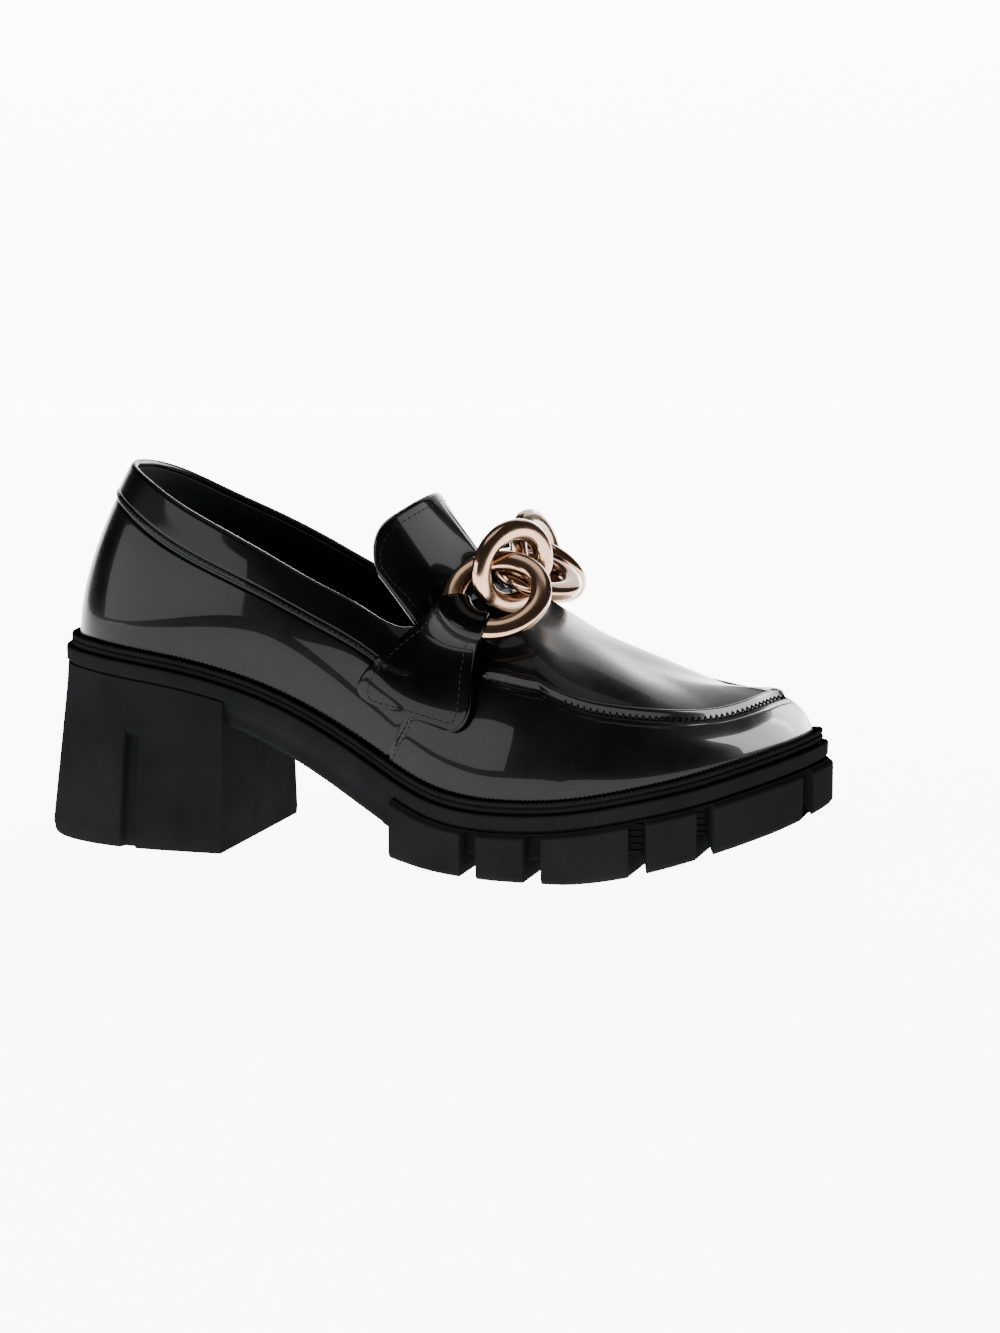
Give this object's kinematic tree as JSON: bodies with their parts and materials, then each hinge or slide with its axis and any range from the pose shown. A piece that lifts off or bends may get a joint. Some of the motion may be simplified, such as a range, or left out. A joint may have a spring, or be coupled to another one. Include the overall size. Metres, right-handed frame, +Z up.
{
  "type": "platform loafer shoe",
  "caption": "Heeled platform loafer with a moccasin toe, a tall tongue, a curb chain across the instep, and a lugged sole with a block heel.",
  "frame": {"origin": "on the floor, under the middle of the shoe's box", "axes": "+X from heel to toe, +Y to the inner side of the foot, +Z up"},
  "size_m": [0.2548, 0.096, 0.1189],
  "materials": {
    "patent": "black patent leather, mirror gloss",
    "sole_rubber": "matte black moulded rubber",
    "lining": "smooth black lining",
    "rose_metal": "polished pale rose gold plate"
  },
  "bodies": {
    "root": {"outsole": "sole_rubber", "welt": "sole_rubber", "insole": "lining", "upper": "patent", "tongue": "patent", "saddle_outer": "patent", "saddle_inner": "patent", "chain_link_1": "rose_metal", "chain_link_2": "rose_metal", "chain_link_3": "rose_metal", "chain_link_4": "rose_metal", "chain_link_5": "rose_metal"}
  },
  "joints": []
}
